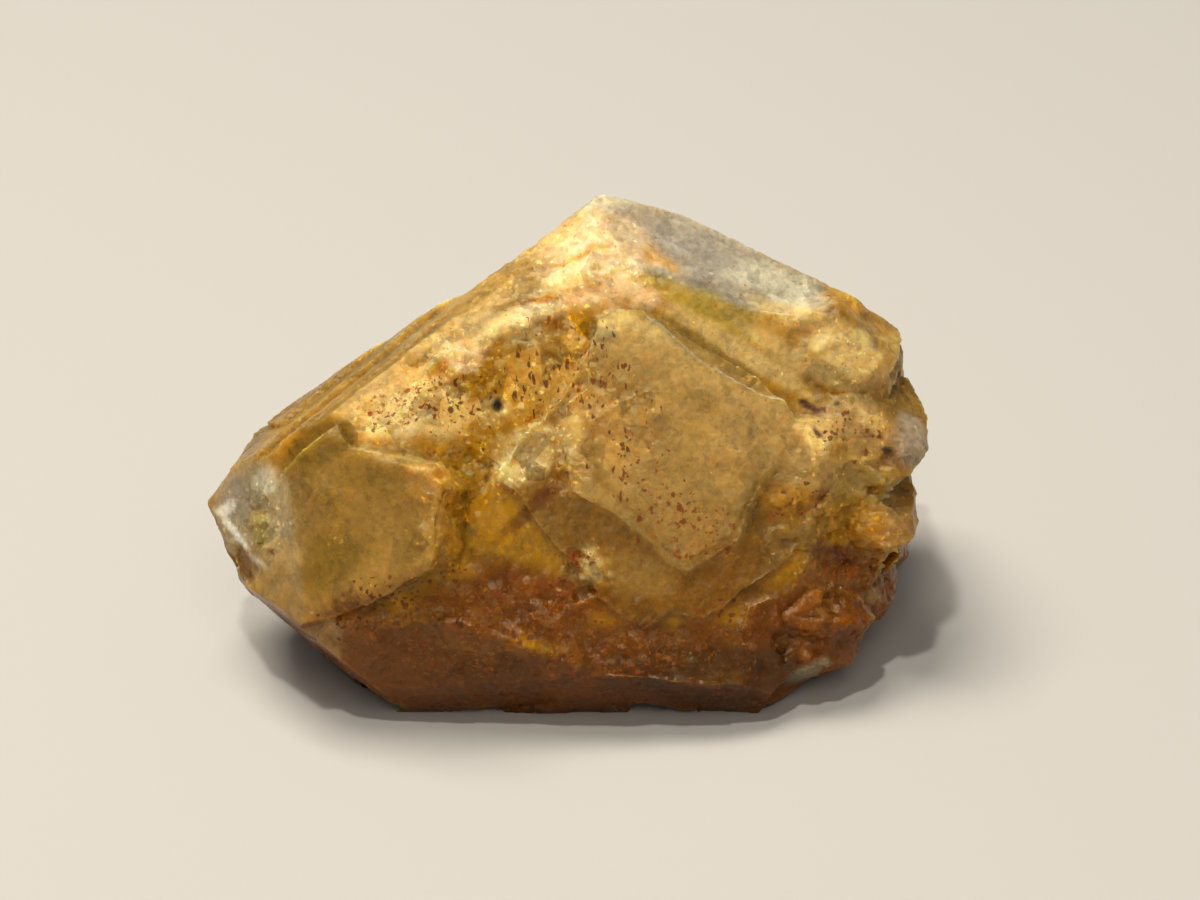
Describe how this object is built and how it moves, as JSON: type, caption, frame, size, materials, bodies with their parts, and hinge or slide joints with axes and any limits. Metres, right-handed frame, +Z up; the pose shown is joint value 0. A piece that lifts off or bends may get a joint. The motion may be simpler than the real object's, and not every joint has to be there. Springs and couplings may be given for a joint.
{
  "type": "phenakite crystal",
  "caption": "Rough translucent golden mineral crystal with flat stepped growth faces, a clear glassy tip and a broken lumpy end, resting on its underside.",
  "frame": {"origin": "on the resting plane, below the middle of the crystal's length and depth", "axes": "+X along the crystal's length towards its broken end, -Y towards its stepped front faces, +Z up"},
  "size_m": [0.028, 0.0172, 0.0177],
  "materials": {
    "phenakite_crystal": "translucent golden crystal, clear at the tip, with rust stains"
  },
  "bodies": {
    "root": {"phenakite_crystal": "phenakite_crystal"}
  },
  "joints": []
}
